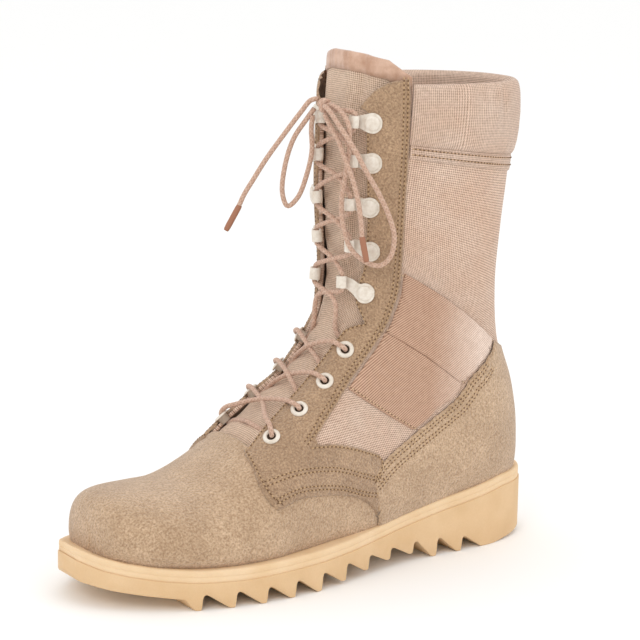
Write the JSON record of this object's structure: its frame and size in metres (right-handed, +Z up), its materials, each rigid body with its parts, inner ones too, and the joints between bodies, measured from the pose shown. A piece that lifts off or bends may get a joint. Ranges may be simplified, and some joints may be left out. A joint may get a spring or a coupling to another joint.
{
  "type": "lace-up combat boot",
  "caption": "Left lace-up combat boot: open hollow shaft with padded collar, tongue, eyelets and speed hooks laced in a bow, on a rippled rubber sole.",
  "frame": {"origin": "on the floor under the centre of the sole's bounding box", "axes": "+X from the heel to the toe, +Y to the outer (lateral) side of the left foot, +Z up"},
  "size_m": [0.305, 0.1088, 0.2958],
  "materials": {
    "outsole": "matte crepe rubber",
    "midsole": "matte crepe rubber, lighter",
    "lining": "woven lining",
    "nylon": "coarse plain-weave nylon",
    "binding": "satin tape",
    "suede": "rough-out suede",
    "webbing": "ribbed twill webbing",
    "painted_hardware": "cream enamel",
    "lace": "braided polyester",
    "aglet": "smooth plastic"
  },
  "bodies": {
    "root": {"outsole": "outsole", "midsole": "midsole", "insole": "lining", "upper": "nylon", "tongue": "nylon", "collar_cuff": "nylon", "tongue_binding": "binding", "facing_lateral": "suede", "facing_medial": "suede", "heel_counter": "suede", "ankle_webbing_lateral": "webbing", "ankle_webbing_medial": "webbing", "backstay": "webbing", "eyelet_lateral_1": "painted_hardware", "eyelet_lateral_2": "painted_hardware", "eyelet_lateral_3": "painted_hardware", "eyelet_lateral_4": "painted_hardware", "eyelet_medial_1": "painted_hardware", "eyelet_medial_2": "painted_hardware", "eyelet_medial_3": "painted_hardware", "eyelet_medial_4": "painted_hardware", "hook_lateral_1": "painted_hardware", "hook_lateral_2": "painted_hardware", "hook_lateral_3": "painted_hardware", "hook_lateral_4": "painted_hardware", "hook_lateral_5": "painted_hardware", "hook_medial_1": "painted_hardware", "hook_medial_2": "painted_hardware", "hook_medial_3": "painted_hardware", "hook_medial_4": "painted_hardware", "hook_medial_5": "painted_hardware", "lace_crossing_1": "lace", "lace_crossing_2": "lace", "lace_crossing_3": "lace", "lace_crossing_4": "lace", "lace_crossing_5": "lace", "lace_crossing_6": "lace", "lace_crossing_7": "lace", "lace_crossing_8": "lace", "lace_knot": "lace", "lace_loop_left": "lace", "lace_loop_right": "lace", "lace_end_left": "lace", "lace_end_right": "lace", "aglet_left": "aglet", "aglet_right": "aglet"}
  },
  "joints": []
}
